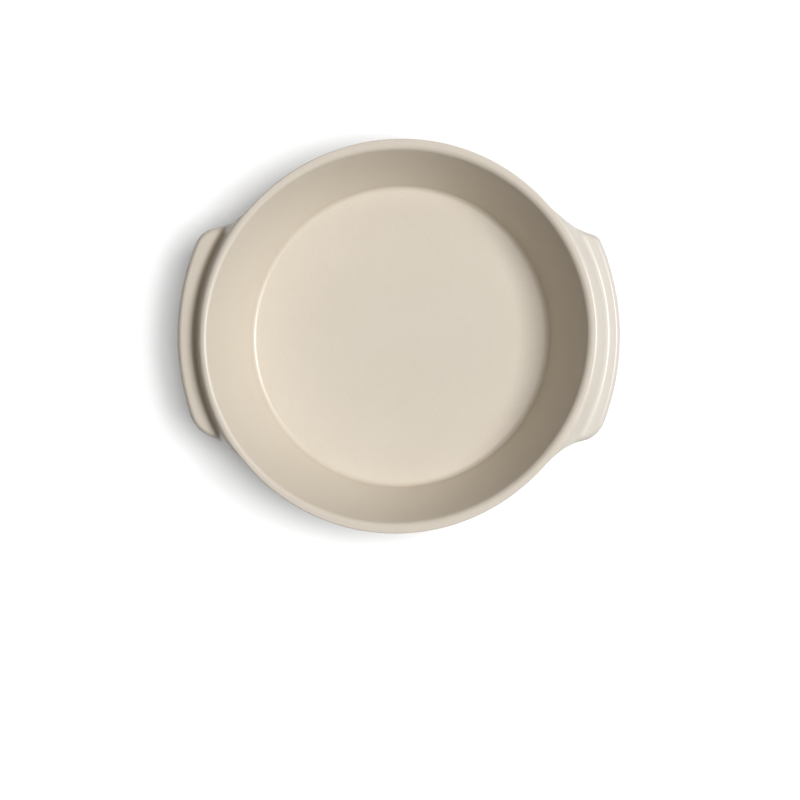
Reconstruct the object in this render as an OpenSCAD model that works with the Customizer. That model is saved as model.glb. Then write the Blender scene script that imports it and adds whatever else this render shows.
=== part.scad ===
// Round stoneware baking dish with two stepped side handles.
// It stands on z = 0 with the dish's axis on the z axis. The handles lie along x.

/* [Rim] */
// Diameter over the rim, without the handles
rim_d = 285; // [220:1:340]
// Height from the table to the top of the rim
dish_h = 65; // [50:1:85]
// Radius of the rim's outer edge
rim_outer_r = 1; // [0.8:0.1:2.4]
// Radius of the rim's inner edge
rim_inner_r = 4; // [2.5:0.1:6]
// Width of the level crest between the rim's two edges
crest_w = 2.7; // [0.5:0.1:3.5]

/* [Bowl] */
// Lean of the inner wall from upright, in degrees
inner_lean = 24; // [19:0.5:27]
// Lean of the outer wall from upright, in degrees
outer_lean = 21.5; // [17:0.5:24]
// Thickness of the floor
floor_t = 7; // [5:0.5:10]
// Radius of the corner between the floor and the inner wall
floor_corner_r = 5; // [3:0.5:16]
// Radius of the corner between the base and the outer wall
base_corner_r = 10; // [5:0.5:14]

/* [Foot ring] */
// Height of the bare clay ring under the base
foot_h = 2.5; // [1.5:0.1:5]
// Width of the ring, from its outer to its inner face
foot_w = 7; // [4:0.5:14]
// Step from the rounded corner of the base in to the ring
foot_inset = 2; // [0.5:0.1:8]
// Radius of the ring's two lower edges
foot_edge_r = 0.8; // [0.3:0.1:1.4]

/* [Handle outline] */
// Reach of a handle beyond the rim
handle_reach = 19; // [15:0.1:24]
// Width that places the two outer corners of a handle
handle_w = 153; // [130:1:170]
// Radius of the long front edge
front_r = 177; // [150:1:230]
// Radius of the outer corners
corner_r = 18; // [10:0.5:22]
// Slant of the short sides from the line of the handles, in degrees
side_slant = 15; // [10:1:22]
// Radius of the hollow curve that leads each side into the rim
blend_r = 55; // [36:1:70]

/* [Handle section] */
// Drop from the top of the rim to the level ledge
ledge_drop = 13.5; // [10:0.5:17]
// Thickness from the ledge down to the underside
handle_t = 12; // [9:0.5:16]
// Lean of the riser between the rim and the ledge from upright, in degrees
riser_lean = 25; // [18:1:32]
// Radius of the riser's rounded top
riser_top_r = 4; // [3:0.1:6]
// Radius of the hollow at the riser's foot
riser_foot_r = 4.5; // [3:0.1:6.5]
// Radius of the ledge's outer edge
ledge_edge_r = 3.9; // [2:0.1:5]
// Draft of the outer face, in degrees
side_draft = 4; // [1:0.5:8]

/* [Hidden] */
$fn = 180;

glaze = [0.86, 0.82, 0.75];
bare_clay = [0.80, 0.71, 0.61];

// Overrun of the pieces that round a corner, and the depth by which a rounding
// cuts into the faces beside it, so that it meets each of them in one line
overrun = 1;
bite = 0.002;
// Room that the joining slip takes between a handle and the bowl
slip_gap = 0.02;
// Thickness of a handle's edge where it is smoothed out on the crest
smear_t = 0.1;
// Reach beyond the rim at which a handle's ends stop
end_reach = 0.15;
// Height of the outer face at a handle's ends
end_h = 1.8;
// Reach over which the riser grows out of the plain rim
riser_fade = 4;
// Reach over which the outer face grows to its full height
face_fade = 10;
// Width over which the edge's radius settles to its full size
edge_fade = 2;

// Share of the outer face's mean size that its lower edge is rounded by
lower_edge_share = 0.75;
// Share of the underside's depth by which it drops towards the wall
cove_drop_share = 0.45;
// Shares of the cove's span that its curve leaves level, and joins the wall along
cove_level_share = 0.6;
cove_wall_share = 0.35;

// Sections along the front edge, round a corner, along a side and along its blend
front_sections = 12;
corner_sections = 9;
side_sections = 4;
blend_sections = 9;
// Points round an edge of a section, along its cove and up the wall
edge_points = 6;
cove_points = 8;
wall_points = 3;

rim_r = rim_d / 2;
crest_r = rim_r - rim_outer_r;
floor_z = foot_h + floor_t;

// Direction at an angle in a plane
function unit(angle) = [cos(angle), sin(angle)];

// Length along an edge from a sharp corner to where a rounding of radius r begins
function rounding_reach(r, corner_angle) = r / tan(corner_angle / 2);

// Sharp corners of the bowl's section, before they are rounded
rim_outer_corner = [crest_r + rounding_reach(rim_outer_r, 90 - outer_lean), dish_h];
rim_inner_corner = [crest_r - crest_w - rounding_reach(rim_inner_r, 90 + inner_lean), dish_h];
base_corner = [rim_outer_corner.x - (dish_h - foot_h) * tan(outer_lean), foot_h];
floor_corner = [rim_inner_corner.x - (dish_h - floor_z) * tan(inner_lean), floor_z];

inward = [-1, 0];
outward = [1, 0];
outer_wall_up = unit(90 - outer_lean);
inner_wall_up = unit(90 - inner_lean);

// Outer radius of the foot ring, inside the rounded corner of the base
foot_r = base_corner.x - rounding_reach(base_corner_r, 90 + outer_lean) - foot_inset;

// The piece between a sharp corner and the rounding that replaces it. The two
// directions run away from the corner along its edges, which the piece overruns.
module corner_piece(corner, along_one, along_two, r) {
    half_angle = acos(along_one * along_two) / 2;
    to_centre = unit_of(along_one + along_two) / sin(half_angle);
    centre = corner + to_centre * r;
    touch_one = corner + along_one * r / tan(half_angle);
    touch_two = corner + along_two * r / tan(half_angle);
    difference() {
        polygon([
            centre,
            touch_one + unit_of(touch_one - centre) * overrun,
            corner - to_centre * overrun,
            touch_two + unit_of(touch_two - centre) * overrun
        ]);
        translate(centre) circle(r + bite);
    }
}

function unit_of(v) = v / norm(v);

module bowl_section() {
    difference() {
        polygon([
            [0, foot_h], base_corner, rim_outer_corner,
            rim_inner_corner, floor_corner, [0, floor_z]
        ]);
        corner_piece(rim_outer_corner, inward, -outer_wall_up, rim_outer_r);
        corner_piece(rim_inner_corner, outward, -inner_wall_up, rim_inner_r);
        corner_piece(base_corner, inward, outer_wall_up, base_corner_r);
    }
    corner_piece(floor_corner, inward, inner_wall_up, floor_corner_r);
}

module bowl() {
    color(glaze) rotate_extrude() bowl_section();
}

// The bare ring that the dish stands on, flush under the glazed base
module foot_ring() {
    foot_inner_r = foot_r - foot_w;
    color(bare_clay) rotate_extrude() difference() {
        translate([foot_inner_r, 0]) square([foot_w, foot_h]);
        corner_piece([foot_r, 0], inward, unit(90), foot_edge_r);
        corner_piece([foot_inner_r, 0], outward, unit(90), foot_edge_r);
    }
}

// Plan of a handle: a long front arc, a rounded corner, a straight slanting side
// and a hollow blend that runs out along the rim.
side_normal = unit(90 - side_slant);
front_centre = [rim_r + handle_reach - front_r, 0];
corner_angle = asin((handle_w / 2 - corner_r) / (front_r - corner_r));
corner_centre = front_centre + (front_r - corner_r) * unit(corner_angle);
side_offset = corner_centre * side_normal + corner_r;
blend_distance = rim_r + blend_r;
blend_angle = 90 - side_slant - acos((side_offset + blend_r) / blend_distance);
blend_centre = blend_distance * unit(blend_angle);

function bearing(point) = atan2(point.y, point.x);

// Angles about the dish's axis at which the stretches of the outline meet,
// with the outline moved inwards by inset
function front_end(inset) = bearing(front_centre + (front_r - inset) * unit(corner_angle));
function corner_end(inset) = bearing(corner_centre + (corner_r - inset) * side_normal);
function side_end(inset) = bearing(blend_centre - (blend_r + inset) * side_normal);

// Where a ray from the axis crosses a circle, on its far or near side
function crossing(angle, centre, r, side) =
    let (along = centre * unit(angle))
    along + side * sqrt(r * r - centre * centre + along * along);

function outline_r(angle, inset) =
    let (a = abs(angle))
    a < front_end(inset) ? crossing(a, front_centre, front_r - inset, 1) :
    a < corner_end(inset) ? crossing(a, corner_centre, corner_r - inset, 1) :
    a < side_end(inset) ? (side_offset - inset) / (side_normal * unit(a)) :
    crossing(a, blend_centre, blend_r + inset, -1);

// Angle at which the outline has come back to end_reach beyond the rim
last_r = rim_r + end_reach;
last_angle = blend_angle - acos(
    (last_r * last_r + blend_distance * blend_distance - blend_r * blend_r)
    / (2 * last_r * blend_distance));

// Section of the riser: a rounded top, a straight slope, a hollow foot and the ledge
handle_top_z = dish_h + smear_t;
ledge_z = dish_h - ledge_drop;
slope_top = [crest_r, handle_top_z - riser_top_r] + riser_top_r * unit(riser_lean);
slope_end_z = ledge_z + riser_foot_r * (1 - sin(riser_lean));
slope_end_r = slope_top.x + (slope_top.y - slope_end_z) * tan(riser_lean);
foot_centre = [slope_end_r + riser_foot_r * cos(riser_lean), ledge_z + riser_foot_r];

// Height that a rounding of radius r falls by at a distance in from its edge
function rounding_fall(distance, r) =
    distance >= r ? 0 : r - sqrt(r * r - (r - distance) * (r - distance));

// Height of the riser and the ledge at a distance from the dish's axis
function riser_z(r) =
    r < slope_top.x ? handle_top_z - rounding_fall(crest_r + riser_top_r - r, riser_top_r) :
    r < slope_end_r ? slope_top.y - (r - slope_top.x) / tan(riser_lean) :
    ledge_z + rounding_fall(r - foot_centre.x + riser_foot_r, riser_foot_r);

// Places across the riser that follow its curves
riser_turns = [for (i = [0:edge_points]) (90 - riser_lean) * i / edge_points];
riser_places = [
    each [for (turn = riser_turns) crest_r + riser_top_r * sin(turn)],
    each [for (turn = riser_turns) foot_centre.x - riser_foot_r * cos(riser_lean + turn)]
];

// A value that goes smoothly from 0 to 1 as x does
function ease(x) = let (t = min(max(x, 0), 1)) t * t * (3 - 2 * t);

// The smaller of two sizes, with a soft change from one to the other
function soft_min(one, two, width) =
    let (t = max(width - abs(one - two), 0))
    min(one, two) - t * t / (4 * width);

function wall_r(z) = rim_outer_corner.x - (dish_h - z) * tan(outer_lean);

function cubic(p0, p1, p2, p3, t) =
    let (s = 1 - t)
    s * s * s * p0 + 3 * s * s * t * p1 + 3 * s * t * t * p2 + t * t * t * p3;

// The seat's chords stay outside the round wall
seat_stretch = 1 / cos(front_end(0) / front_sections / 2);

// One upright section of a handle through the dish's axis, as [radius, height] points
function handle_section(angle) =
    let (
        out_r = outline_r(angle, 0),
        reach = out_r - rim_r,
        riser_part = ease(reach / riser_fade),
        room = norm(crest_r * unit(abs(angle)) - blend_centre) - blend_r,
        edge_r = soft_min(ledge_edge_r, room - smear_t, edge_fade),
        edge_start_r = outline_r(angle, edge_r),
        squeeze = min(1, (edge_start_r - crest_r) / (foot_centre.x - crest_r)),
        top_z = function (r) handle_top_z - riser_part * (handle_top_z - riser_z(r)),
        face_top_z = top_z(out_r) - edge_r,
        face_h = end_h + (handle_t - ledge_edge_r - end_h) * ease((reach - end_reach) / face_fade),
        under_z = face_top_z - face_h,
        depth = out_r - wall_r(under_z),
        lower_edge_r = lower_edge_share * face_h * depth / (face_h + depth),
        draft_inset = (face_h - lower_edge_r) * tan(side_draft),
        cove_start = [outline_r(angle, draft_inset + lower_edge_r), under_z],
        span = cove_start.x - wall_r(under_z),
        cove_end_z = under_z - cove_drop_share * span,
        seat_r = function (z) seat_stretch * (wall_r(z) + slip_gap / cos(outer_lean)),
        cove_end = [seat_r(cove_end_z), cove_end_z],
        wall_top_z = dish_h - rim_outer_r - rim_outer_r * sin(outer_lean)
    ) [
        // Across the crest, the riser and the ledge
        each [for (place = riser_places)
            let (r = crest_r + squeeze * (place - crest_r)) [r, top_z(r)]],
        // Round the ledge's outer edge
        each [for (i = [0:edge_points])
            let (
                inset = edge_r * (1 - sin(90 * i / edge_points)),
                r = outline_r(angle, inset)
            ) [r, top_z(r) - rounding_fall(inset, edge_r)]],
        // Round the lower edge, below the drafted face
        each [for (i = [0:edge_points])
            let (inset = lower_edge_r * (1 - cos(90 * i / edge_points)))
            [outline_r(angle, draft_inset + inset), under_z + rounding_fall(inset, lower_edge_r)]],
        // Along the hollow underside to the wall
        each [for (i = [1:cove_points])
            cubic(
                cove_start, cove_start + cove_level_share * span * inward,
                cove_end + cove_wall_share * span * outer_wall_up, cove_end,
                i / cove_points)],
        // Up the wall and round the rim's outer edge, back to the crest
        each [for (i = [1:wall_points])
            let (z = cove_end_z + (wall_top_z - cove_end_z) * i / wall_points) [seat_r(z), z]],
        each [for (i = [1:edge_points])
            let (
                around = -outer_lean + (90 + outer_lean) * i / edge_points,
                seat = [crest_r, dish_h - rim_outer_r] + (rim_outer_r + slip_gap) * unit(around)
            ) [seat.x * (i < edge_points ? seat_stretch : 1), seat.y]]
    ];

// Angles of the sections from the middle of a handle to its end, closer at the corner
half_angles = [
    each [for (i = [0:front_sections - 1]) front_end(0) * i / front_sections],
    each [for (i = [0:corner_sections - 1])
        front_end(0) + (corner_end(0) - front_end(0)) * i / corner_sections],
    each [for (i = [0:side_sections - 1])
        corner_end(0) + (side_end(0) - corner_end(0)) * i / side_sections],
    each [for (i = [0:blend_sections])
        side_end(0) + (last_angle - side_end(0)) * i / blend_sections]
];
handle_angles = [
    each [for (i = [len(half_angles) - 1:-1:1]) -half_angles[i]],
    each half_angles
];

// A closed skin over sections that all have the same number of points
module loft(sections) {
    count = len(sections[0]);
    last = (len(sections) - 1) * count;
    points = [for (section = sections) each section];
    skin = [for (start = [0:count:last - 1], i = [0:count - 1])
        let (j = (i + 1) % count)
        each [
            [start + i, start + count + i, start + count + j],
            [start + i, start + count + j, start + j]
        ]];
    ends = [[for (i = [0:count - 1]) i], [for (i = [count - 1:-1:0]) last + i]];
    polyhedron(points, concat(skin, ends));
}

module handle() {
    color(glaze) loft([for (angle = handle_angles)
        [for (p = handle_section(angle)) [p.x * cos(angle), p.x * sin(angle), p.y]]]);
}

module handle_right() {
    handle();
}

module handle_left() {
    rotate(180) handle();
}

bowl();
foot_ring();
handle_right();
handle_left();
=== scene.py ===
from math import acos, asin, atan2, cos, hypot, pi, radians, sin, sqrt, tan

import bmesh
import bpy
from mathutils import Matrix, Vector


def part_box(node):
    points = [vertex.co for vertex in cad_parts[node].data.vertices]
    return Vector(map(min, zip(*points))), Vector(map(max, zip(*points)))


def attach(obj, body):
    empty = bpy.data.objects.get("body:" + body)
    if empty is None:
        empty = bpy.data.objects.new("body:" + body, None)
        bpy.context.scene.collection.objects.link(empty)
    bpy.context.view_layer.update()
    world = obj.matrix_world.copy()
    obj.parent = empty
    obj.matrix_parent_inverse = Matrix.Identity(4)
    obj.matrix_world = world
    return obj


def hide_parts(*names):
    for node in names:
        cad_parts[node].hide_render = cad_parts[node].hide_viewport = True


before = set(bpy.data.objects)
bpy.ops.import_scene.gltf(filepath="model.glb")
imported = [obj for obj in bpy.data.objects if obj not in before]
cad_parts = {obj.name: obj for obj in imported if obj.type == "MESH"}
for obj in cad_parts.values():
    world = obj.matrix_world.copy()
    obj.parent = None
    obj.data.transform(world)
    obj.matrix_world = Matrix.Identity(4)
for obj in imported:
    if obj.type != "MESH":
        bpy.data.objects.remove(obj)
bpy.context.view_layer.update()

bl_info = {
    "name": "Round baking dish",
    "version": (1, 0, 0),
    "blender": (4, 5, 0),
    "location": "View3D > Sidebar > Baking dish",
    "description": "Builds the glazed pieces of a round baking dish and a plain studio round them",
    "category": "Object",
}

MM = 0.001
BODY = "root"

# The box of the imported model, before any piece stands for a part of it
BOWL_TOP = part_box("bowl")[1]
RING_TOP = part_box("foot_ring")[1]
HANDLE_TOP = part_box("handle_right")[1]

INWARD = Vector((-1, 0))
UPRIGHT = Vector((0, 0, 1))
WHITE = (1, 1, 1, 1)

# Steps of the turned pieces round the axis
TURN_STEPS = 400

# How far the studio's floor lies under the foot ring
FLOOR_GAP = 0.05 * MM

# The camera's sensor, in Blender's millimetres, and how far it sees, in metres
SENSOR_W = 36
SIGHT = 20


def length(name, about, default):
    """A length that the sidebar shows in real units."""
    return bpy.props.FloatProperty(
        name=name, description=about, default=default, unit="LENGTH", precision=4)


def lean(name, about, degrees_off):
    """An angle, given in degrees."""
    return bpy.props.FloatProperty(
        name=name, description=about, default=radians(degrees_off), subtype="ANGLE")


def share(name, about, default):
    """A plain number, such as a share of a size."""
    return bpy.props.FloatProperty(name=name, description=about, default=default, precision=4)


def colour(name, about, default):
    """A colour in linear values."""
    return bpy.props.FloatVectorProperty(
        name=name, description=about, default=default, size=3, subtype="COLOR", min=0, max=1)


class DishSizes(bpy.types.PropertyGroup):
    """Sizes of the dish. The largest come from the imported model."""
    rim_r: length("Rim radius", "Radius of the rim without the handles", BOWL_TOP[0])
    dish_h: length("Height", "Height of the rim over the table", BOWL_TOP[2])
    rim_outer_r: length("Rim outer edge", "Radius of the rim's outer edge", 1.0 * MM)
    crest_w: length("Crest width", "Mean width of the level crest of the rim", 1.8 * MM)
    crest_change: length("Crest change", "Change of it between handles and sides", 1 * MM)
    rim_inner_r: length("Rim inner edge", "Radius of the rim's inner edge", 5 * MM)
    rim_pinch: length("Rim pinch", "Loss of that radius beside the left handle", 2 * MM)
    rim_shift: length("Rim shift", "How far the inner edge lies off to the left", 0.4 * MM)
    outer_lean: lean("Outer lean", "Lean of the outer wall from upright", 21.5)
    floor_t: length("Floor thickness", "Thickness of the floor", 7 * MM)
    floor_r: length("Floor radius", "Mean radius at which the wall would meet the floor", 111 * MM)
    floor_change: length(
        "Floor change", "Change of that radius between handles and sides", 0.7 * MM)
    floor_corner_r: length("Floor corner", "Radius between the floor and the wall", 5 * MM)
    base_corner_r: length("Base corner", "Radius between the base and the wall", 10 * MM)
    foot_h: length("Foot height", "Height of the bare foot ring", RING_TOP[2])
    foot_r: length("Foot radius", "Outer radius of the bare foot ring", RING_TOP[0])
    foot_w: length("Foot width", "Width of the bare foot ring", 7 * MM)
    foot_edge_r: length("Foot edge", "Radius of the foot ring's lower edges", 0.8 * MM)
    handle_reach: length(
        "Handle reach", "Reach of a handle beyond the rim", HANDLE_TOP[0] - BOWL_TOP[0])
    ledge_drop: length("Ledge drop", "Drop from the rim to the handle's ledge", 13.5 * MM)
    handle_t: length("Handle thickness", "Thickness from the ledge to the underside", 12 * MM)
    ledge_edge_r: length("Ledge edge", "Radius of the ledge's outer edge", 3.9 * MM)
    side_draft: lean("Draft", "Draft of a handle's outer face", 4)
    rim_oval: share("Oval at the rim", "Share by which firing pulled the rim out of round", 0.0085)
    foot_oval: share("Oval at the foot", "The same share at the foot", 0.005)
    rim_wave: length("Rim wave", "Height of the slow waves that firing left", 0.12 * MM)


class RightHandle(bpy.types.PropertyGroup):
    """Plan of the right handle, which was shaped by hand, so its ends differ."""
    turn: lean("Turn", "Turn of the handle from the dish's long line", -0.7)
    reach: length("Reach", "Reach of the handle beyond the rim", 18.5 * MM)
    width: length("Width", "Width that places the outer corners", 152 * MM)
    front_r: length("Front radius", "Radius of the long front edge", 178 * MM)
    first_corner_r: length("First corner", "Radius of the corner after the front", 9 * MM)
    first_slant: lean("First slant", "Slant of the side after the front", 14)
    first_blend_r: length("First blend", "Radius from that side into the rim", 70 * MM)
    last_corner_r: length("Last corner", "Radius of the corner before the front", 23 * MM)
    last_slant: lean("Last slant", "Slant of the side before the front", 16.6)
    last_blend_r: length("Last blend", "Radius from that side into the rim", 55 * MM)
    riser_lean: lean("Riser lean", "Lean of the riser between the rim and the ledge", 27)
    riser_top_r: length("Riser top", "Radius of the riser's rounded top", 4.0 * MM)
    riser_foot_r: length("Riser foot", "Radius of the hollow at the riser's foot", 4.5 * MM)


class LeftHandle(bpy.types.PropertyGroup):
    """Plan of the left handle, which was shaped by hand, so its ends differ."""
    turn: lean("Turn", "Turn of the handle from the dish's long line", -1.1)
    reach: length("Reach", "Reach of the handle beyond the rim", 19.5 * MM)
    width: length("Width", "Width that places the outer corners", 153.5 * MM)
    front_r: length("Front radius", "Radius of the long front edge", 176 * MM)
    first_corner_r: length("First corner", "Radius of the corner after the front", 23 * MM)
    first_slant: lean("First slant", "Slant of the side after the front", 15)
    first_blend_r: length("First blend", "Radius from that side into the rim", 55 * MM)
    last_corner_r: length("Last corner", "Radius of the corner before the front", 19 * MM)
    last_slant: lean("Last slant", "Slant of the side before the front", 13)
    last_blend_r: length("Last blend", "Radius from that side into the rim", 53 * MM)
    riser_lean: lean("Riser lean", "Lean of the riser between the rim and the ledge", 22)
    riser_top_r: length("Riser top", "Radius of the riser's rounded top", 3.6 * MM)
    riser_foot_r: length("Riser foot", "Radius of the hollow at the riser's foot", 2.8 * MM)


class DishLook(bpy.types.PropertyGroup):
    """Colours and finish of the glaze and of the bare clay."""
    glaze: colour("Glaze", "Sand-coloured satin glaze", (0.727, 0.643, 0.530))
    # Darker glaze for the random clouds, and for the ring round the floor that paints both pooled
    # glaze and the shade of that hollow
    pooled_glaze_and_shade: colour("Pooled glaze", "Glaze where it lies thick in a hollow", (0.668, 0.572, 0.448))
    # Painted shade: a dark colour laid on the left riser, which faces away from the key lamp
    painted_riser_shade: colour("Deep glaze", "Glaze that ran together on the left riser", (0.53, 0.43, 0.31))
    thin: colour("Thin glaze", "Glaze where it draws thin over an edge", (0.772, 0.675, 0.562))
    # Painted sheen: a whiter colour laid on the right handle, which faces the key lamp
    painted_sheen: colour("Pale glaze", "Glaze on the right handle, a shade whiter", (0.77, 0.72, 0.665))
    speck: colour("Specks", "Specks of iron in the glaze", (0.42, 0.33, 0.24))
    clay: colour("Bare clay", "Fired clay of the foot ring", (0.60, 0.49, 0.385))
    clay_patch: colour("Clay patches", "Lighter patches in that clay", (0.66, 0.57, 0.47))
    glaze_roughness: share("Glaze roughness", "Roughness of the satin glaze", 0.32)
    clay_roughness: share("Clay roughness", "Roughness of the bare clay", 0.88)


class StudioLook(bpy.types.PropertyGroup):
    """Camera and light of the plain studio."""
    eye_distance: length("Camera distance", "Height of the camera over the rim", 1.5)
    eye_x: length("Camera x", "Place of the camera across the handles' line", 0.040)
    eye_y: length("Camera y", "Place of the camera along the picture's height", -0.010)
    picture_w: length("Picture width", "Width that the picture covers at the rim", 0.5772)
    dish_x: share("Dish in width", "Place of the dish's axis across the picture", 0.4984)
    dish_y: share("Dish in height", "Place of the dish's axis down the picture", 0.42)
    key_height: lean("Key height", "Height of the large soft lamp over the horizon", 56)
    key_turn: lean("Key turn", "Turn of the lamp from the handles' line", 4)
    key_size: length("Key size", "Side of the square lamp", 1.9)
    key_level: share("Key level", "Part of a plain light level that the lamp gives", 0.745)
    key_colour: colour("Key colour", "Colour of its light, a little cool", (0.935, 0.968, 1.0))
    top_height: lean("Top lamp height", "Height of the lamp overhead over the horizon", 85)
    top_size: length("Top lamp size", "Side of the square lamp overhead", 3.6)
    top_level: share("Top level", "Part of a plain light level that it gives", 0.08)
    side_height: lean("Side lamps height", "Height of the two weak side lamps", 45)
    side_size: length("Side lamps size", "Side of each square side lamp", 1.2)
    far_level: share("Far side level", "Part of a plain light level from the far side", 0.052)
    near_level: share("Near side level", "Part of a plain light level from the near side", 0.024)
    lamp_distance: length("Lamp distance", "Distance of the lamps from the dish", 6.0)
    fill_level: share("Fill level", "Part of a plain light level that the room gives", 0.005)
    low_lamp_height: lean("Low floor lamp height", "Height of the floor's lower lamp", 53)
    low_lamp_size: length("Low floor lamp size", "Side of the floor's lower lamp", 3.7)
    low_lamp_level: share("Low floor lamp level", "Part of a plain light level from it", 0.75)
    high_lamp_height: lean("High floor lamp height", "Height of the floor's upper lamp", 78)
    high_lamp_size: length("High floor lamp size", "Side of the floor's upper lamp", 4.3)
    high_lamp_level: share("High floor lamp level", "Part of a plain light level from it", 1.27)
    floor_lamps_turn: lean("Floor lamps turn", "Turn of both from the handles' line", 2)
    floor_reach: length("Floor reach", "Reach of the floor from the dish's axis", 2.4)
    floor_white: share("Floor white", "Tone of the floor as it is seen", 0.65)
    floor_tone: share("Floor tone", "Tone of the floor in the light that it throws back", 0.25)
    floor_lift: share("Floor lift", "Light added to the floor as the camera sees it", 0.01)


def unit(angle):
    """Direction at an angle in a plane."""
    return Vector((cos(angle), sin(angle)))


def ease(x):
    """Goes smoothly from 0 to 1 as x does."""
    t = min(max(x, 0), 1)
    return t * t * (3 - 2 * t)


def soft_min(one, two, width):
    """The smaller of two sizes, with a soft change from one to the other."""
    t = max(width - abs(one - two), 0)
    return min(one, two) - t * t / (4 * width)


def between(start, end, count):
    """Evenly spaced values from start up to end, both included."""
    return [start + (end - start) * i / count for i in range(count + 1)]


def arc(centre, r, start, end, count):
    """Points along an arc, both ends included."""
    return [centre + r * unit(angle) for angle in between(start, end, count)]


def cubic(p0, p1, p2, p3, t):
    """Point at t on a curve with two pulling points."""
    s = 1 - t
    return s * s * s * p0 + 3 * s * s * t * p1 + 3 * s * t * t * p2 + t * t * t * p3


def rounding(corner, along_one, along_two, r, count):
    """Arc that rounds a corner, from the edge along_one runs on to the other."""
    half = acos(along_one.dot(along_two)) / 2
    centre = corner + (along_one + along_two).normalized() * r / sin(half)
    one = corner + along_one * r / tan(half) - centre
    two = corner + along_two * r / tan(half) - centre
    start = atan2(one.y, one.x)
    turn = atan2(one.x * two.y - one.y * two.x, one.dot(two))
    return arc(centre, r, start, start + turn, count)


class Bowl:
    """Section of the bowl and of its foot ring, as points of radius and height."""

    WALL_STEPS = 24
    FLOOR_STEPS = 24
    EDGE_STEPS = 14
    CORNER_STEPS = 16
    LEAN_ROUNDS = 4

    def __init__(self, sizes):
        self.sizes = sizes
        self.crest_r = sizes.rim_r - sizes.rim_outer_r
        self.floor_z = sizes.foot_h + sizes.floor_t
        outer_up = unit(pi / 2 - sizes.outer_lean)
        outer_reach = sizes.rim_outer_r / tan((pi / 2 - sizes.outer_lean) / 2)
        self.rim_outer = Vector((self.crest_r + outer_reach, sizes.dish_h))
        base = Vector((self.wall_r(sizes.foot_h), sizes.foot_h))
        self.base_edge = rounding(base, INWARD, outer_up, sizes.base_corner_r, self.CORNER_STEPS)
        self.outer_edge = rounding(
            self.rim_outer, -outer_up, INWARD, sizes.rim_outer_r, self.EDGE_STEPS)

    def wall_r(self, z):
        """Radius of the outer wall at a height."""
        return self.rim_outer.x - (self.sizes.dish_h - z) * tan(self.sizes.outer_lean)

    def section(self, angle):
        """From beside the axis under the base, round the rim, to beside it on the floor.
        Toward the handles the crest and the floor are narrower than at the bare sides."""
        sizes = self.sizes
        out_of_round = cos(2 * angle)
        inner_r = sizes.rim_inner_r - sizes.rim_pinch * max(-cos(angle), 0)
        crest_w = sizes.crest_w - sizes.crest_change * out_of_round + sizes.rim_shift * cos(angle)
        edge_centre = Vector((self.crest_r - crest_w, sizes.dish_h - inner_r))
        floor = Vector((sizes.floor_r - sizes.floor_change * out_of_round, self.floor_z))
        inner_lean = sizes.outer_lean
        for _ in range(self.LEAN_ROUNDS):
            inner_edge = arc(
                edge_centre, inner_r, pi / 2, pi - inner_lean, self.CORNER_STEPS)
            inner_lean = atan2(inner_edge[-1].x - floor.x, inner_edge[-1].y - floor.y)
        floor_edge = rounding(floor, unit(pi / 2 - inner_lean), INWARD, sizes.floor_corner_r,
                              self.CORNER_STEPS)
        stretches = [
            self.level_run(self.base_edge[0], 1),
            self.base_edge,
            self.run(self.base_edge[-1], self.outer_edge[0], self.WALL_STEPS),
            self.outer_edge,
            inner_edge,
            self.run(inner_edge[-1], floor_edge[0], self.WALL_STEPS),
            floor_edge,
            self.level_run(floor_edge[-1], -1),
        ]
        return [point for stretch in stretches for point in stretch]

    def run(self, start, end, count):
        """Points strictly between two ends of a straight stretch."""
        return [start.lerp(end, i / count) for i in range(1, count)]

    def level_run(self, edge, way):
        """Points of a level disc, from beside the axis to its edge or back."""
        steps = self.FLOOR_STEPS
        return [Vector((edge.x * i / steps, edge.y)) for i in range(1, steps)][::way]

    def ring_section(self):
        """Closed section of the bare ring, with its two lower edges rounded."""
        sizes = self.sizes
        inner_r = sizes.foot_r - sizes.foot_w
        up = Vector((0, 1))
        return [
            *rounding(Vector((inner_r, 0)), up, -INWARD, sizes.foot_edge_r, self.EDGE_STEPS),
            *self.run(
                Vector((inner_r + sizes.foot_edge_r, 0)),
                Vector((sizes.foot_r - sizes.foot_edge_r, 0)), self.EDGE_STEPS),
            *rounding(Vector((sizes.foot_r, 0)), INWARD, up, sizes.foot_edge_r, self.EDGE_STEPS),
            Vector((sizes.foot_r, sizes.foot_h)),
            Vector((inner_r, sizes.foot_h)),
        ]


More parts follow.
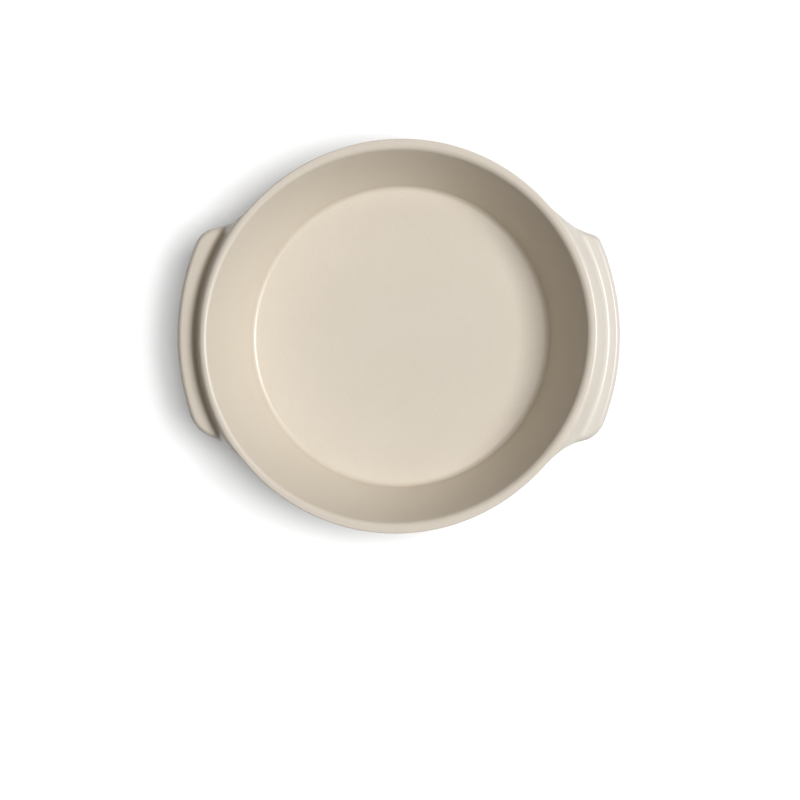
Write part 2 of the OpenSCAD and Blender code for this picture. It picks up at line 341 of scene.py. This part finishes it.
class HandlePlan:
    """One half of a handle seen from above: a long front edge, a round corner, a
    slanting side, and a blend into the rim."""

    def __init__(self, rim_r, reach, width, front_r, corner_r, slant, blend_r):
        self.front_r = front_r
        self.corner_r = corner_r
        self.blend_r = blend_r
        side_angle = pi / 2 - slant
        self.side_normal = unit(side_angle)
        self.front_centre = Vector((rim_r + reach - front_r, 0))
        corner_arm = front_r - corner_r
        self.corner_angle = asin((width / 2 - corner_r) / corner_arm)
        self.corner_centre = self.front_centre + corner_arm * unit(self.corner_angle)
        self.side_offset = self.corner_centre.dot(self.side_normal) + corner_r
        arm = rim_r + blend_r
        blend_angle = side_angle - acos((self.side_offset + blend_r) / arm)
        self.blend_centre = arm * unit(blend_angle)
        last_r = rim_r + Handle.END_REACH
        back = (last_r * last_r + arm * arm - blend_r * blend_r) / (2 * last_r * arm)
        self.last_angle = blend_angle - acos(back)

    def front_end(self, inset):
        """Angle where the front edge ends, on the outline moved inwards by inset."""
        return bearing(self.front_centre + (self.front_r - inset) * unit(self.corner_angle))

    def corner_end(self, inset):
        """Angle where the round corner ends on it."""
        return bearing(self.corner_centre + (self.corner_r - inset) * self.side_normal)

    def side_end(self, inset):
        """Angle where the slanting side ends on it."""
        return bearing(self.blend_centre - (self.blend_r + inset) * self.side_normal)

    def outline_r(self, a, inset):
        """Distance from the dish's axis to the outline moved inwards by inset."""
        if a < self.front_end(inset):
            return crossing(a, self.front_centre, self.front_r - inset, 1)
        if a < self.corner_end(inset):
            return crossing(a, self.corner_centre, self.corner_r - inset, 1)
        if a < self.side_end(inset):
            return (self.side_offset - inset) / self.side_normal.dot(unit(a))
        return crossing(a, self.blend_centre, self.blend_r + inset, -1)

    def room(self, a, crest_r):
        """Room for a round edge between the crest and the outline's hollow blend."""
        return (crest_r * unit(a) - self.blend_centre).length - self.blend_r

    def angles(self):
        """Angles of the sections from the middle to the end, closer at the corner."""
        front, corner, side = self.front_end(0), self.corner_end(0), self.side_end(0)
        return [
            *between(0, front, Handle.FRONT_SECTIONS)[:-1],
            *between(front, corner, Handle.CORNER_SECTIONS)[:-1],
            *between(corner, side, Handle.SIDE_SECTIONS)[:-1],
            *between(side, self.last_angle, Handle.BLEND_SECTIONS),
        ]


class Handle:
    """Sections of a handle: a riser that drops from the rim to a ledge, a rounded
    outer face, and a hollow underside that runs into the wall."""

    FRONT_SECTIONS = 44
    CORNER_SECTIONS = 30
    SIDE_SECTIONS = 12
    BLEND_SECTIONS = 44
    EDGE_POINTS = 12
    SLOPE_POINTS = 8
    COVE_POINTS = 22
    SEAT_POINTS = 6

    # Over what reach the riser, the outer face and the edge grow out of the plain rim
    RISER_FADE = 4 * MM
    FACE_FADE = 10 * MM
    EDGE_FADE = 2 * MM

    # Reach and height of what is left of the handle at its very ends
    END_REACH = 0.01 * MM
    END_H = 0.4 * MM

    # How far its edges lie under the bowl's surface, and its hidden seat inside the wall
    SUNK = 0.002 * MM
    SEAT_DEPTH = 0.5 * MM

    # Shares of the room for the lower edge, and pulls of the hollow underside's curve
    LOWER_EDGE_SHARE = 0.75
    COVE_DROP_SHARE = 0.45
    COVE_LEVEL_SHARE = 0.6
    COVE_WALL_SHARE = 0.35

    def __init__(self, sizes, bowl, shape):
        self.sizes = sizes
        self.bowl = bowl
        self.shape = shape
        whole = (sizes.rim_r, shape.reach, shape.width, shape.front_r)
        self.first = HandlePlan(
            *whole, shape.first_corner_r, shape.first_slant, shape.first_blend_r)
        self.last = HandlePlan(*whole, shape.last_corner_r, shape.last_slant, shape.last_blend_r)

        self.top_z = sizes.dish_h - self.SUNK
        self.ledge_z = sizes.dish_h - sizes.ledge_drop
        self.slope_top = Vector((bowl.crest_r, self.top_z - shape.riser_top_r))
        self.slope_top += shape.riser_top_r * unit(shape.riser_lean)
        slope_end_z = self.ledge_z + shape.riser_foot_r * (1 - sin(shape.riser_lean))
        slope_h = self.slope_top.y - slope_end_z
        self.slope_end_r = self.slope_top.x + slope_h * tan(shape.riser_lean)
        self.foot_centre = Vector((
            self.slope_end_r + shape.riser_foot_r * cos(shape.riser_lean),
            self.ledge_z + shape.riser_foot_r))

        # Places across the riser that follow its curves, also where they are squeezed
        turns = between(0, pi / 2 - shape.riser_lean, self.EDGE_POINTS)
        self.places = [bowl.crest_r + shape.riser_top_r * sin(turn) for turn in turns]
        self.places += between(self.slope_top.x, self.slope_end_r, self.SLOPE_POINTS)[1:-1]
        self.places += [
            self.foot_centre.x - shape.riser_foot_r * cos(shape.riser_lean + turn)
            for turn in turns]

    def riser_z(self, r):
        """Height of the riser and the ledge at a distance from the dish's axis."""
        shape = self.shape
        if r < self.slope_top.x:
            return self.top_z - fall(r - self.bowl.crest_r, shape.riser_top_r)
        if r < self.slope_end_r:
            return self.slope_top.y - (r - self.slope_top.x) / tan(shape.riser_lean)
        return self.ledge_z + fall(max(self.foot_centre.x - r, 0), shape.riser_foot_r)

    def section(self, angle):
        """The upright section at an angle round the dish's axis: its points of radius
        and height, and how many of them are seen, the rest being the seat."""
        sizes, bowl = self.sizes, self.bowl
        plan = self.first if angle > 0 else self.last
        a = abs(angle)
        out_r = plan.outline_r(a, 0)
        reach = out_r - sizes.rim_r
        riser_part = ease(reach / self.RISER_FADE)
        edge_r = soft_min(sizes.ledge_edge_r, plan.room(a, bowl.crest_r), self.EDGE_FADE)
        edge_start_r = plan.outline_r(a, edge_r)
        squeeze = min(1, (edge_start_r - bowl.crest_r) / (self.foot_centre.x - bowl.crest_r))

        def top_z(r):
            """Height of the handle's top, which is the plain rim's at its ends."""
            return self.top_z - riser_part * (self.top_z - self.riser_z(r))

        face_h = sizes.handle_t - sizes.ledge_edge_r - self.END_H
        face_h = self.END_H + face_h * ease(reach / self.FACE_FADE)
        under_z = top_z(out_r) - edge_r - face_h
        depth = out_r - bowl.wall_r(under_z)
        lower_r = self.LOWER_EDGE_SHARE * face_h * depth / (face_h + depth)
        draft = (face_h - lower_r) * tan(sizes.side_draft)
        start = Vector((plan.outline_r(a, draft + lower_r), under_z))
        span = start.x - bowl.wall_r(under_z)
        end_z = under_z - self.COVE_DROP_SHARE * span
        end = Vector((bowl.wall_r(end_z) - self.SUNK, end_z))
        wall_up = unit(pi / 2 - sizes.outer_lean)

        points = []
        for place in self.places:
            r = bowl.crest_r + squeeze * (place - bowl.crest_r)
            points.append(Vector((r, top_z(r))))
        for turn in between(0, pi / 2, self.EDGE_POINTS)[1:]:
            inset = edge_r * (1 - sin(turn))
            r = plan.outline_r(a, inset)
            points.append(Vector((r, top_z(r) - fall(edge_r - inset, edge_r))))
        for turn in between(0, pi / 2, self.EDGE_POINTS):
            inset = lower_r * (1 - cos(turn))
            r = plan.outline_r(a, draft + inset)
            points.append(Vector((r, under_z + fall(lower_r - inset, lower_r))))
        for t in between(0, 1, self.COVE_POINTS)[1:]:
            points.append(cubic(
                start, start + self.COVE_LEVEL_SHARE * span * INWARD,
                end + self.COVE_WALL_SHARE * span * wall_up, end, t))
        seen = len(points)
        seat_top = Vector((bowl.crest_r - self.SEAT_DEPTH, self.top_z - sizes.rim_outer_r))
        seat_foot = end + self.SEAT_DEPTH * INWARD
        points += [seat_foot.lerp(seat_top, t) for t in between(0, 1, self.SEAT_POINTS)]
        return points, seen

    def angles(self):
        """Angles of the sections from one end to the other."""
        return [-angle for angle in self.last.angles()[:0:-1]] + self.first.angles()


def bearing(point):
    """Angle of a point about the axis."""
    return atan2(point.y, point.x)


def crossing(angle, centre, r, side):
    """Where a ray from the axis crosses a circle, on its far or its near side."""
    along = centre.dot(unit(angle))
    return along + side * sqrt(max(r * r - centre.length_squared + along * along, 0))


def fall(distance, r):
    """Drop of a round edge of radius r at a distance past its top."""
    return r - sqrt(max(r * r - distance * distance, 0))


class Firing:
    """How the kiln left the dish: a little oval, with slow waves that grow up the wall.
    The stiff outer edges of the handles stayed as they were."""

    # Each wave's count round the dish, its height beside the first, and its phase
    WAVES = ((3, 1.0, 0.7), (5, 0.6, 2.1))

    # How far a wave in the wall also lifts it
    RISE_SHARE = 0.5

    # Distance over which the direction of a settled surface is taken
    STEP = 0.1 * MM

    def __init__(self, sizes):
        self.sizes = sizes

    def settle(self, point):
        """Where a point of the dish lies after firing."""
        sizes = self.sizes
        up = point.z / sizes.dish_h
        r = hypot(point.x, point.y)
        oval = sizes.foot_oval + (sizes.rim_oval - sizes.foot_oval) * up
        oval *= 1 - ease((r - sizes.rim_r) / sizes.handle_reach)
        angle = atan2(point.y, point.x)
        wave = sizes.rim_wave * up * sum(
            height * sin(count * angle + phase) for count, height, phase in self.WAVES)
        grow = 1 + wave / sizes.rim_r
        return Vector((
            (point.x + oval * point.y) * grow,
            (point.y + oval * point.x) * grow,
            point.z * (1 + self.RISE_SHARE * wave * up / sizes.dish_h)))

    def bend(self, point, normal):
        """The direction of a surface after it has settled."""
        side = normal.orthogonal().normalized()
        other = normal.cross(side)
        here = self.settle(point)
        along = self.settle(point + side * self.STEP) - here
        across = self.settle(point + other * self.STEP) - here
        return along.cross(across).normalized()


def add_object(name, bm, normals=None):
    """Turns a finished bmesh into a smooth object."""
    mesh = bpy.data.meshes.new(name)
    bm.to_mesh(mesh)
    bm.free()
    mesh.shade_smooth()
    if normals:
        mesh.normals_split_custom_set_from_vertices(normals)
    piece = bpy.data.objects.new(name, mesh)
    bpy.context.scene.collection.objects.link(piece)
    return piece


def turned(point, angle):
    """A section's point at an angle round the dish's axis."""
    return Vector((point.x * cos(angle), point.x * sin(angle), point.y))


def skin(bm, rows, closed):
    """Faces between neighbouring rows of vertices, each row a loop if closed."""
    for one, two in zip(rows, rows[1:]):
        count = len(one)
        for i in range(count if closed else count - 1):
            j = (i + 1) % count
            bm.faces.new((one[i], two[i], two[j], one[j]))


def turned_rows(bm, sizes, section_at):
    """Rows of vertices all round the axis, with the first one again at the end."""
    firing = Firing(sizes)
    rows = [
        [bm.verts.new(firing.settle(turned(point, angle))) for point in section_at(angle)]
        for angle in between(0, 2 * pi, TURN_STEPS)[:-1]]
    return rows + rows[:1]


def build_bowl(sizes):
    """The bowl: its section turned round the axis and closed at both discs' centres."""
    bowl = Bowl(sizes)
    bm = bmesh.new()
    rows = turned_rows(bm, sizes, bowl.section)
    skin(bm, rows, closed=False)
    under = bm.verts.new((0, 0, sizes.foot_h))
    over = bm.verts.new((0, 0, bowl.floor_z))
    for one, two in zip(rows, rows[1:]):
        bm.faces.new((one[0], under, two[0]))
        bm.faces.new((two[-1], over, one[-1]))
    bmesh.ops.recalc_face_normals(bm, faces=bm.faces)
    return add_object("glazed_bowl", bm)


def build_ring(sizes):
    """The bare foot ring, a closed section turned round the axis."""
    section = Bowl(sizes).ring_section()
    bm = bmesh.new()
    skin(bm, turned_rows(bm, sizes, lambda angle: section), closed=True)
    bmesh.ops.recalc_face_normals(bm, faces=bm.faces)
    return add_object("bare_foot_ring", bm)


def build_handle(sizes, shape, name, facing):
    """One handle, facing the angle given. Its seat is hidden inside the wall, and the
    glaze runs over its joint, so its edges take the direction of the bowl's surface."""
    bowl = Bowl(sizes)
    handle = Handle(sizes, bowl, shape)
    firing = Firing(sizes)
    wall_out = unit(-sizes.outer_lean)
    bm = bmesh.new()
    rows = []
    seams = {}
    for angle in handle.angles():
        section, seen = handle.section(angle)
        around = angle + facing + shape.turn
        row = [bm.verts.new(firing.settle(turned(p, around))) for p in section]
        rows.append(row)
        top, foot = turned(section[0], around), turned(section[seen - 1], around)
        seams[row[0]] = firing.bend(top, UPRIGHT)
        seams[row[seen - 1]] = firing.bend(foot, turned(wall_out, around))
    skin(bm, rows, closed=True)
    bm.faces.new(rows[0])
    bm.faces.new(rows[-1][::-1])
    bmesh.ops.recalc_face_normals(bm, faces=bm.faces)
    bm.normal_update()
    hidden = {vertex for row in rows for vertex in row[seen:]}
    bm.verts.index_update()
    normals = []
    for vertex in bm.verts:
        total = Vector()
        for face in vertex.link_faces:
            if not hidden.intersection(face.verts):
                total += face.normal * face.calc_area()
        if vertex in seams:
            total = seams[vertex]
        normals.append(total.normalized() if total.length > 0 else vertex.normal.copy())
    return add_object(name, bm, normals)


class Value:
    """An output socket that can stand in a sum: each operator adds a Math node."""

    def __init__(self, nodes, socket):
        self.nodes = nodes
        self.socket = socket

    def maths(self, operation, one, two):
        """The result of one Math node."""
        return self.nodes.add("ShaderNodeMath", {"operation": operation}, {0: one, 1: two})

    def __add__(self, other):
        return self.maths("ADD", self, other)

    def __radd__(self, other):
        return self.maths("ADD", other, self)

    def __sub__(self, other):
        return self.maths("SUBTRACT", self, other)

    def __rsub__(self, other):
        return self.maths("SUBTRACT", other, self)

    def __mul__(self, other):
        return self.maths("MULTIPLY", self, other)

    def __rmul__(self, other):
        return self.maths("MULTIPLY", other, self)

    def __pow__(self, other):
        return self.maths("POWER", self, other)

    def at_most(self, other):
        return self.maths("MINIMUM", self, other)

    def at_least(self, other):
        return self.maths("MAXIMUM", self, other)


class Nodes:
    """A node tree that is built by one method."""

    NOISE_MEAN = 0.5
    NOISE_ROUGHNESS = 0.5

    def __init__(self, tree):
        self.tree = tree
        tree.nodes.clear()

    def add(self, kind, settings=None, inputs=None, output=0):
        """Adds a node, makes its settings, then gives its sockets values or links."""
        node = self.tree.nodes.new(kind)
        for name, value in (settings or {}).items():
            setattr(node, name, value)
        for key, value in (inputs or {}).items():
            if isinstance(value, Value):
                self.tree.links.new(value.socket, node.inputs[key])
            else:
                node.inputs[key].default_value = value
        return Value(self, node.outputs[output]) if node.outputs else node

    def noise(self, place, size, detail=2.0):
        """Even noise about its mean, with blotches about size across."""
        return self.add("ShaderNodeTexNoise", None, {
            "Vector": place, "Scale": 1 / size, "Detail": detail,
            "Roughness": self.NOISE_ROUGHNESS})

    def fade(self, value, start, end):
        """Goes smoothly from 0 at start to 1 at end."""
        return self.add("ShaderNodeMapRange", {"interpolation_type": "SMOOTHSTEP"}, {
            "Value": value, "From Min": start, "From Max": end})

    def near(self, value, place, start, end):
        """Goes smoothly from 1 at start to 0 at end, on both sides of a place."""
        return 1 - self.fade(((value - place) ** 2) ** 0.5, start, end)

    def mix(self, mask, one, two):
        """Colour that goes from one to two with a mask."""
        return self.add(
            "ShaderNodeMix", {"data_type": "RGBA"}, {0: mask, 6: one, 7: two}, output=2)


def opaque(rgb):
    """A colour with full alpha."""
    return (*rgb, 1.0)


def new_material(name):
    """A material with an empty node tree."""
    material = bpy.data.materials.new(name)
    material.use_nodes = True
    return material, Nodes(material.node_tree)


class Glaze:
    """Sizes and shares that make up the satin glaze."""

    # Widths of its blotches, and the values of their noise between which they fade in
    CLOUD_W = 55 * MM
    SWELL_W = 22 * MM
    WISP_W = 9 * MM
    RIPPLE_W = 5 * MM
    GRAIN_W = 1.2 * MM
    SPECK_W = 0.7 * MM
    CLOUD_FADE = (0.3, 0.7)
    WISP_FADE = (0.35, 0.7)
    SPECK_FADE = (0.74, 0.8)

    # It draws thin from the first depth to the second, below the rim and inside the
    # handles' outer edge, and more so where the wisps are above their low value
    CREST_FADE = (2.2 * MM, 0.2 * MM)
    LEDGE_FADE = (3.5 * MM, 0.5 * MM)
    LEDGE_THIN = 0.6
    THIN_SHARE = 0.55
    THIN_CHANGE = 0.9
    LOW_WISP = 0.25

    # It pools round the floor, at a distance inside the rim, where this darker ring also paints
    # the shade of that hollow
    POOL_SHADE_INSET = 29 * MM
    POOL_SHADE_FADE = (1 * MM, 7 * MM)
    POOL_SHADE_TOP_FADE = (2 * MM, 7 * MM)

    # Painted shade on the left riser, which faces away from the key lamp, at a distance outside
    # the rim
    RISER_SHADE_REACH = 5.9 * MM
    RISER_FADE = (1.5 * MM, 5 * MM)
    RISER_SHADE_DEPTH = 2 * MM

    # Painted sheen: paler on the right handle, which faces the key lamp, from inside the rim
    # outwards
    RIGHT_FADE = (0, 20 * MM)
    SHEEN_FADE = (-1 * MM, 5 * MM)

    # How far each colour covers what lies under it
    CLOUD_COVER = 0.22
    WISP_COVER = 0.12
    POOL_SHADE_COVER = 0.5
    RISER_SHADE_COVER = 0.85
    THIN_COVER = 0.8
    SHEEN_COVER = 0.45
    SPECK_COVER = 0.25

    # Changes of its roughness, and heights of its ripple beside the bump's distance
    CLOUD_ROUGH = 0.06
    WISP_ROUGH = 0.05
    THIN_ROUGH = 0.03
    RIPPLE_H = 0.6
    SWELL_H = 1.6
    GRAIN_H = 0.08
    THIN_GRAIN_H = 2.4
    BUMP_H = 0.03 * MM
    REFRACTION = 1.5


def glaze_material(look, sizes):
    """Satin glaze: cloudy, darker in a ring round the floor where it pools and where the shade of
    that hollow is painted, drawn thin over the edges, with painted shade on the left riser, a
    painted sheen on the right handle, sparse specks and a fine ripple."""
    material, nodes = new_material("satin_glaze")
    place = nodes.add("ShaderNodeTexCoord", output=3)
    x = nodes.add("ShaderNodeSeparateXYZ", None, {0: place})
    y, z = [Value(nodes, x.socket.node.outputs[axis]) for axis in (1, 2)]
    r = (x * x + y * y) ** 0.5

    clouds = nodes.noise(place, Glaze.CLOUD_W, detail=3.0)
    wisps = nodes.noise(place, Glaze.WISP_W, detail=3.0)
    specks = nodes.noise(place, Glaze.SPECK_W, detail=0.0)

    start, end = Glaze.CREST_FADE
    crest = nodes.fade(z, sizes.dish_h - start, sizes.dish_h - end)
    start, end = Glaze.LEDGE_FADE
    ledge_r = sizes.rim_r + sizes.handle_reach
    outer_edge = nodes.fade(r, ledge_r - start, ledge_r - end)
    wispy = Glaze.THIN_SHARE + Glaze.THIN_CHANGE * (wisps - Glaze.LOW_WISP)
    thin = crest.at_least(outer_edge * Glaze.LEDGE_THIN) * wispy
    thin = thin.at_least(0.0).at_most(1.0)

    # Ring round the floor: pooled glaze and painted shade in the hollow between floor and wall
    start, end = Glaze.POOL_SHADE_TOP_FADE
    floor_z = sizes.foot_h + sizes.floor_t
    pool_shade = nodes.near(r, sizes.rim_r - Glaze.POOL_SHADE_INSET, *Glaze.POOL_SHADE_FADE)
    pool_shade = pool_shade * (1 - nodes.fade(z, floor_z + start, floor_z + end))

    right = nodes.fade(x, *Glaze.RIGHT_FADE)
    # Painted shade on the left riser, kept off the right handle
    ledge_z = sizes.dish_h - sizes.ledge_drop
    riser_shade = nodes.near(r, sizes.rim_r + Glaze.RISER_SHADE_REACH, *Glaze.RISER_FADE)
    riser_shade = riser_shade * nodes.fade(z, ledge_z - Glaze.RISER_SHADE_DEPTH, ledge_z) * (1 - right)
    # Painted sheen on the right handle, from inside the rim outwards
    start, end = Glaze.SHEEN_FADE
    painted_sheen = right * nodes.fade(r, sizes.rim_r + start, sizes.rim_r + end)

    body = opaque(look.glaze)
    for mask, cover, over in (
            (nodes.fade(clouds, *Glaze.CLOUD_FADE), Glaze.CLOUD_COVER, look.pooled_glaze_and_shade),
            (nodes.fade(wisps, *Glaze.WISP_FADE), Glaze.WISP_COVER, look.thin),
            (pool_shade, Glaze.POOL_SHADE_COVER, look.pooled_glaze_and_shade),
            (riser_shade, Glaze.RISER_SHADE_COVER, look.painted_riser_shade),
            (thin, Glaze.THIN_COVER, look.thin),
            (painted_sheen, Glaze.SHEEN_COVER, look.painted_sheen),
            (nodes.fade(specks, *Glaze.SPECK_FADE), Glaze.SPECK_COVER, look.speck)):
        body = nodes.mix(mask * cover, body, opaque(over))

    roughness = look.glaze_roughness + Glaze.CLOUD_ROUGH * (clouds - nodes.NOISE_MEAN)
    roughness = roughness + Glaze.WISP_ROUGH * (wisps - nodes.NOISE_MEAN)
    roughness = roughness + Glaze.THIN_ROUGH * thin

    ripple = nodes.noise(place, Glaze.RIPPLE_W) * Glaze.RIPPLE_H
    ripple = ripple + nodes.noise(place, Glaze.SWELL_W) * Glaze.SWELL_H
    grain_h = Glaze.GRAIN_H + Glaze.THIN_GRAIN_H * thin
    ripple = ripple + nodes.noise(place, Glaze.GRAIN_W) * grain_h
    bump = nodes.add("ShaderNodeBump", None, {
        "Strength": 1.0, "Distance": Glaze.BUMP_H, "Height": ripple})

    shader = nodes.add("ShaderNodeBsdfPrincipled", None, {
        "Base Color": body, "Roughness": roughness, "Normal": bump, "IOR": Glaze.REFRACTION})
    nodes.add("ShaderNodeOutputMaterial", None, {"Surface": shader})
    return material


class Clay:
    """Sizes and shares that make up the bare clay."""

    # Widths of its grains and patches, and the values of their noise where they fade in
    SAND_W = 0.8 * MM
    PATCH_W = 18 * MM
    SAND_FADE = (0.35, 0.7)
    PATCH_FADE = (0.4, 0.75)

    # How far each colour covers what lies under it, and the tone of the dark grains
    SAND_COVER = 0.45
    PATCH_COVER = 0.25
    DARK_TONE = 0.72

    SAND_ROUGH = 0.1
    BUMP_STRENGTH = 0.8
    BUMP_H = 0.12 * MM


def clay_material(look):
    """Bare fired clay: sandy, with darker grains and lighter patches."""
    material, nodes = new_material("bare_clay")
    place = nodes.add("ShaderNodeTexCoord", output=3)
    sand = nodes.noise(place, Clay.SAND_W, detail=4.0)
    patches = nodes.noise(place, Clay.PATCH_W, detail=3.0)
    dark = tuple(Clay.DARK_TONE * part for part in look.clay)
    body = opaque(look.clay)
    for mask, cover, over in (
            (nodes.fade(sand, *Clay.SAND_FADE), Clay.SAND_COVER, dark),
            (nodes.fade(patches, *Clay.PATCH_FADE), Clay.PATCH_COVER, look.clay_patch)):
        body = nodes.mix(mask * cover, body, opaque(over))
    roughness = look.clay_roughness + Clay.SAND_ROUGH * (sand - nodes.NOISE_MEAN)
    bump = nodes.add("ShaderNodeBump", None, {
        "Strength": Clay.BUMP_STRENGTH, "Distance": Clay.BUMP_H, "Height": sand})
    shader = nodes.add("ShaderNodeBsdfPrincipled", None, {
        "Base Color": body, "Roughness": roughness, "Normal": bump})
    nodes.add("ShaderNodeOutputMaterial", None, {"Surface": shader})
    return material


def seen_rays(nodes):
    """Mask of all rays that show the backdrop itself, straight on or in gloss or glass."""
    path = nodes.add("ShaderNodeLightPath")
    outputs = path.socket.node.outputs
    camera, gloss, glass = [
        Value(nodes, outputs[name])
        for name in ("Is Camera Ray", "Is Glossy Ray", "Is Transmission Ray")]
    return camera.at_least(gloss).at_least(glass)


def floor_material(studio):
    """White floor that keeps the dish's shadow and otherwise shows as plain white."""
    material, nodes = new_material("studio_floor")
    seen = seen_rays(nodes)
    tone = opaque([studio.floor_tone] * 3)
    white = opaque([studio.floor_white] * 3)
    matte = nodes.add("ShaderNodeBsdfDiffuse", None, {"Color": nodes.mix(seen, tone, white)})
    lift = seen * studio.floor_lift
    glow = nodes.add("ShaderNodeEmission", None, {"Color": WHITE, "Strength": lift})
    both = nodes.add("ShaderNodeAddShader", None, {0: matte, 1: glow})
    nodes.add("ShaderNodeOutputMaterial", None, {"Surface": both})
    return material


def set_world(studio):
    """Faint, even light from all round, in a room that the camera sees as white."""
    world = bpy.data.worlds.new("studio_world")
    world.use_nodes = True
    nodes = Nodes(world.node_tree)
    seen = seen_rays(nodes)
    level = studio.fill_level + seen * (1 - studio.fill_level)
    background = nodes.add("ShaderNodeBackground", None, {"Color": WHITE, "Strength": level})
    nodes.add("ShaderNodeOutputWorld", None, {"Surface": background})
    bpy.context.scene.world = world


def set_camera(sizes, studio):
    """Camera that looks straight down, shifted so that the dish lies where it should."""
    data = bpy.data.cameras.new("camera")
    data.sensor_width = SENSOR_W
    data.lens = data.sensor_width * studio.eye_distance / studio.picture_w
    data.shift_x = (0.5 - studio.dish_x) - studio.eye_x / studio.picture_w
    data.shift_y = (studio.dish_y - 0.5) - studio.eye_y / studio.picture_w
    data.clip_end = SIGHT
    camera = bpy.data.objects.new("camera", data)
    camera.location = (studio.eye_x, studio.eye_y, sizes.dish_h + studio.eye_distance)
    bpy.context.scene.collection.objects.link(camera)
    bpy.context.scene.camera = camera


def set_lamp(name, size, level, height, turn, distance):
    """A soft square lamp aimed at the dish. Its level is the light that it gives level
    ground, as a part of what such ground gets from a plain white sky."""
    data = bpy.data.lights.new(name, "AREA")
    data.shape = "SQUARE"
    data.size = size
    data.energy = level * pi * pi * distance ** 2 / sin(height)
    towards = Vector((cos(height) * cos(turn), cos(height) * sin(turn), sin(height)))
    lamp = bpy.data.objects.new(name, data)
    lamp.location = towards * distance
    lamp.rotation_euler = towards.to_track_quat("Z", "Y").to_euler()
    bpy.context.scene.collection.objects.link(lamp)
    return lamp


def only(piece, state):
    """Group by which a lamp lights one piece alone, or everything but that piece."""
    group = bpy.data.collections.new(state.lower() + "_" + piece.name)
    group.objects.link(piece)
    group.collection_objects[0].light_linking.link_state = state
    return group


def set_floor(studio):
    """Plain floor just under the foot ring."""
    bm = bmesh.new()
    bmesh.ops.create_grid(bm, x_segments=1, y_segments=1, size=studio.floor_reach)
    floor = add_object("studio_floor", bm)
    for vertex in floor.data.vertices:
        vertex.co.z = -FLOOR_GAP
    floor.data.materials.append(floor_material(studio))
    return floor


def material_once(name, make, *settings):
    """The material of that name, or else a new one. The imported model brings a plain
    bare_clay of its own, so the foot ring shows that one and not clay_material's."""
    return bpy.data.materials.get(name) or make(*settings)


def dress(piece, material, slot, *nodes):
    """Gives a piece its finish and body, and lets it stand for its CAD nodes. The slot is not
    used.
    """
    piece.data.materials.append(material)
    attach(piece, BODY)
    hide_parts(*nodes)


class DISH_OT_bowl(bpy.types.Operator):
    """Builds the glazed bowl"""
    bl_idname = "dish.bowl"
    bl_label = "Bowl"

    def execute(self, context):
        sizes, look = context.scene.dish_sizes, context.scene.dish_look
        glaze = material_once("satin_glaze", glaze_material, look, sizes)
        dress(build_bowl(sizes), glaze, "glaze", "bowl")
        return {"FINISHED"}


class DISH_OT_foot_ring(bpy.types.Operator):
    """Builds the bare clay ring that the dish stands on"""
    bl_idname = "dish.foot_ring"
    bl_label = "Foot ring"

    def execute(self, context):
        scene = context.scene
        clay = material_once("bare_clay", clay_material, scene.dish_look)
        dress(build_ring(scene.dish_sizes), clay, "bare_clay", "foot_ring")
        return {"FINISHED"}


class DISH_OT_handles(bpy.types.Operator):
    """Builds the two stepped handles, on opposite sides of the bowl"""
    bl_idname = "dish.handles"
    bl_label = "Handles"

    def execute(self, context):
        scene = context.scene
        sizes, look = scene.dish_sizes, scene.dish_look
        glaze = material_once("satin_glaze", glaze_material, look, sizes)
        for node, shape, facing in (
                ("handle_right", scene.right_handle, 0), ("handle_left", scene.left_handle, pi)):
            dress(build_handle(sizes, shape, "glazed_" + node, facing), glaze, "glaze", node)
        return {"FINISHED"}


class DISH_OT_studio(bpy.types.Operator):
    """Sets the camera, the lamps, the white room and the floor"""
    bl_idname = "dish.studio"
    bl_label = "Studio"

    def execute(self, context):
        studio = context.scene.dish_studio
        set_camera(context.scene.dish_sizes, studio)
        dish_lamps = (
            ("key_lamp", studio.key_size, studio.key_level, studio.key_height, studio.key_turn),
            ("top_lamp", studio.top_size, studio.top_level, studio.top_height, 0),
            ("far_lamp", studio.side_size, studio.far_level, studio.side_height, pi / 2),
            ("near_lamp", studio.side_size, studio.near_level, studio.side_height, -pi / 2),
        )
        key, *_ = [set_lamp(*place, studio.lamp_distance) for place in dish_lamps]
        key.data.color = studio.key_colour
        set_world(studio)
        floor = set_floor(studio)
        key.light_linking.receiver_collection = only(floor, "EXCLUDE")
        floor_lamps = (
            ("low_floor_lamp", studio.low_lamp_size, studio.low_lamp_level,
             studio.low_lamp_height),
            ("high_floor_lamp", studio.high_lamp_size, studio.high_lamp_level,
             studio.high_lamp_height),
        )
        for place in floor_lamps:
            lamp = set_lamp(*place, studio.floor_lamps_turn, studio.lamp_distance)
            lamp.light_linking.receiver_collection = only(floor, "INCLUDE")
        context.scene.view_settings.view_transform = "Standard"
        return {"FINISHED"}


STEPS = (DISH_OT_studio, DISH_OT_bowl, DISH_OT_foot_ring, DISH_OT_handles)


class DISH_PT_panel(bpy.types.Panel):
    """Lists the steps that build the dish"""
    bl_idname = "DISH_PT_panel"
    bl_label = "Baking dish"
    bl_space_type = "VIEW_3D"
    bl_region_type = "UI"
    bl_category = "Baking dish"

    def draw(self, context):
        for step in STEPS:
            self.layout.operator(step.bl_idname)


GROUPS = {
    "dish_sizes": DishSizes,
    "right_handle": RightHandle,
    "left_handle": LeftHandle,
    "dish_look": DishLook,
    "dish_studio": StudioLook,
}
CLASSES = (*GROUPS.values(), *STEPS, DISH_PT_panel)


def register():
    """Adds the panel, its steps and its groups of settings to Blender."""
    for cls in CLASSES:
        bpy.utils.register_class(cls)
    for name, group in GROUPS.items():
        setattr(bpy.types.Scene, name, bpy.props.PointerProperty(type=group))


def unregister():
    """Takes them out again."""
    for name in GROUPS:
        delattr(bpy.types.Scene, name)
    for cls in reversed(CLASSES):
        bpy.utils.unregister_class(cls)


def main():
    """Builds the studio and the dish."""
    register()
    bpy.ops.dish.studio()
    bpy.ops.dish.bowl()
    bpy.ops.dish.foot_ring()
    bpy.ops.dish.handles()


if __name__ == "__main__":
    main()
